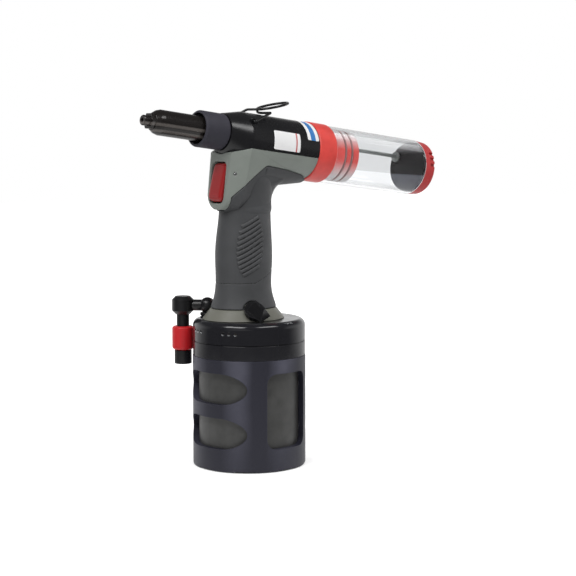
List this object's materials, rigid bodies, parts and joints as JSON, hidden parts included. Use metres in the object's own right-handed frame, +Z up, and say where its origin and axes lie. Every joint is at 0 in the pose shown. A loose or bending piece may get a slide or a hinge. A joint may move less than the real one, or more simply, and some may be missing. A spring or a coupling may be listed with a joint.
{
  "type": "pneumatic riveter",
  "caption": "Upright hand-held air over oil blind riveter: wide base cylinder, rubber pistol grip with trigger, black head with nose, wire hanger and clear mandrel bottle.",
  "frame": {"origin": "centre of the base's bottom face, on the air cylinder's axis", "axes": "+Z up along the air cylinder, +X towards the nose, +Y to the tool's left side"},
  "size_m": [0.2971, 0.1046, 0.3005],
  "materials": {
    "boot_rubber": "satin black rubber",
    "cylinder_metal": "dark anodised",
    "head_metal": "gloss black",
    "lid_plastic": "gloss black",
    "housing_plastic": "moulded grey green",
    "grip_rubber": "soft dark grey",
    "red_plastic": "moulded red",
    "black_metal": "satin black",
    "black_plastic": "gloss black",
    "clear_plastic": "clear",
    "steel": "machined",
    "turned_aluminium": "turned",
    "bronze": "turned",
    "seal_rubber": "black",
    "silencer_felt": "felt"
  },
  "bodies": {
    "tool_body": {"base_boot": "boot_rubber", "air_cylinder": "cylinder_metal", "base_plate": "turned_aluminium", "base_plate_seal": "seal_rubber", "base_retaining_ring": "steel", "cylinder_head": "head_metal", "lid_cover": "lid_plastic", "exhaust_silencer": "silencer_felt", "handle_screws": "steel", "rod_gland": "bronze", "rod_gland_seal": "seal_rubber", "pressure_tube": "steel", "valve_sleeve": "bronze", "valve_spring": "steel", "handle_casing": "housing_plastic", "rubber_grip": "grip_rubber", "trigger_pin": "steel", "trigger_valve_body": "bronze", "trigger_spring": "steel", "head_barrel": "black_metal", "oil_screw": "black_metal", "rod_bush": "bronze", "rod_seal": "seal_rubber", "return_spring": "steel", "rear_plug": "turned_aluminium", "rear_plug_seal": "seal_rubber", "nose_casing": "black_metal", "nose_nut": "black_metal", "nose_sleeve": "grip_rubber", "nosepiece": "black_metal", "collector_collar": "red_plastic", "collar_seals": "seal_rubber", "baffle_rod": "steel", "inlet_post": "black_metal"},
    "air_piston_unit": {"air_piston": "turned_aluminium", "air_piston_seal": "seal_rubber", "intensifier_rod": "steel", "piston_nut": "steel"},
    "pull_unit": {"pull_piston": "steel", "pull_piston_seal": "seal_rubber", "jaw_guide": "steel", "jaw_spring": "steel"},
    "jaw_pusher_body": {"jaw_pusher": "steel"},
    "jaw_top_body": {"jaw_top": "steel"},
    "jaw_right_body": {"jaw_right": "steel"},
    "jaw_left_body": {"jaw_left": "steel"},
    "trigger_body": {"trigger": "red_plastic"},
    "trigger_stem_body": {"trigger_valve_stem": "steel"},
    "valve_spool_body": {"valve_spool": "steel"},
    "vacuum_switch_body": {"vacuum_switch": "black_plastic"},
    "hanger_body": {"hanger": "black_metal"},
    "bottle_body": {"collector_bottle": "clear_plastic"},
    "end_cap_body": {"end_cap": "red_plastic", "end_plug": "black_plastic"},
    "inlet_swivel_body": {"inlet_swivel": "black_metal"},
    "inlet_elbow_body": {"inlet_elbow": "black_metal", "hose_connector": "black_metal"},
    "slide_sleeve_body": {"slide_sleeve": "red_plastic"}
  },
  "joints": [
    {"name": "air_piston_slide", "type": "slide", "parent": "tool_body", "child": "air_piston_unit", "axis": [0, 0, 1], "range_m": [0, 0.066], "stiffness_N_per_m": 310, "springref_m": -0.03},
    {"name": "pull_slide", "type": "slide", "parent": "tool_body", "child": "pull_unit", "axis": [-0.9919, 0, -0.1271], "range_m": [0, 0.01838], "deforming": ["return_spring"]},
    {"name": "jaw_pusher_slide", "type": "slide", "parent": "pull_unit", "child": "jaw_pusher_body", "axis": [0.9919, 0, 0.1271], "range_m": [0, 0.0025], "deforming": ["jaw_spring"]},
    {"name": "jaw_top_slide", "type": "slide", "parent": "pull_unit", "child": "jaw_top_body", "axis": [0.9998, 0, -0.0215], "range_m": [0, 0.00253]},
    {"name": "jaw_right_slide", "type": "slide", "parent": "pull_unit", "child": "jaw_right_body", "axis": [0.9715, 0.1285, 0.1992], "range_m": [0, 0.00253]},
    {"name": "jaw_left_slide", "type": "slide", "parent": "pull_unit", "child": "jaw_left_body", "axis": [0.9715, -0.1285, 0.1992], "range_m": [0, 0.00253]},
    {"name": "trigger_hinge", "type": "hinge", "parent": "tool_body", "child": "trigger_body", "pos_m": [0.02564, 0, 0.24181], "axis": [0, 1, 0], "range_deg": [0, 7]},
    {"name": "trigger_stem_slide", "type": "slide", "parent": "tool_body", "child": "trigger_stem_body", "axis": [-0.9919, 0, -0.1271], "range_m": [0, 0.00195], "stiffness_N_per_m": 400, "springref_m": -0.002, "deforming": ["trigger_spring"]},
    {"name": "valve_spool_slide", "type": "slide", "parent": "tool_body", "child": "valve_spool_body", "axis": [0, 0, -1], "range_m": [0, 0.002], "stiffness_N_per_m": 600, "springref_m": -0.002, "deforming": ["valve_spring"]},
    {"name": "vacuum_switch_hinge", "type": "hinge", "parent": "tool_body", "child": "vacuum_switch_body", "pos_m": [0.01355, 0.02534, 0.129], "axis": [-0.2067, -0.6762, -0.7071], "range_deg": [0, 90]},
    {"name": "hanger_hinge", "type": "hinge", "parent": "tool_body", "child": "hanger_body", "pos_m": [0.00954, 0, 0.28411], "axis": [0, 1, 0], "range_deg": [0, 120]},
    {"name": "bottle_slide", "type": "slide", "parent": "tool_body", "child": "bottle_body", "axis": [-0.9919, 0, -0.1271], "range_m": [0, 0.026]},
    {"name": "end_cap_hinge", "type": "hinge", "parent": "bottle_body", "child": "end_cap_body", "pos_m": [0.00066, 0, 0.26684], "axis": [0.9919, 0, 0.1271], "range_deg": [0, 45]},
    {"name": "inlet_swivel_hinge", "type": "hinge", "parent": "tool_body", "child": "inlet_swivel_body", "pos_m": [0.0185, -0.0335, 0.1306], "axis": [0, 0, 1], "range_deg": [-36, 4]},
    {"name": "inlet_elbow_hinge", "type": "hinge", "parent": "inlet_swivel_body", "child": "inlet_elbow_body", "pos_m": [0.03334, -0.04835, 0.1306], "axis": [0.7071, -0.7071, 0], "range_deg": [-80, 80]},
    {"name": "slide_sleeve_slide", "type": "slide", "parent": "inlet_elbow_body", "child": "slide_sleeve_body", "axis": [0, 0, 1], "range_m": [0, 0.0045]}
  ],
  "couplings": [
    {"joint": "pull_slide", "follows": "air_piston_slide", "ratio": 0.27841},
    {"joint": "jaw_pusher_slide", "follows": "air_piston_slide", "ratio": 0.037879},
    {"joint": "jaw_top_slide", "follows": "air_piston_slide", "ratio": 0.038303},
    {"joint": "jaw_right_slide", "follows": "air_piston_slide", "ratio": 0.038303},
    {"joint": "jaw_left_slide", "follows": "air_piston_slide", "ratio": 0.038303},
    {"joint": "trigger_hinge", "follows": "trigger_stem_slide", "rad_per_m": 62.5}
  ]
}
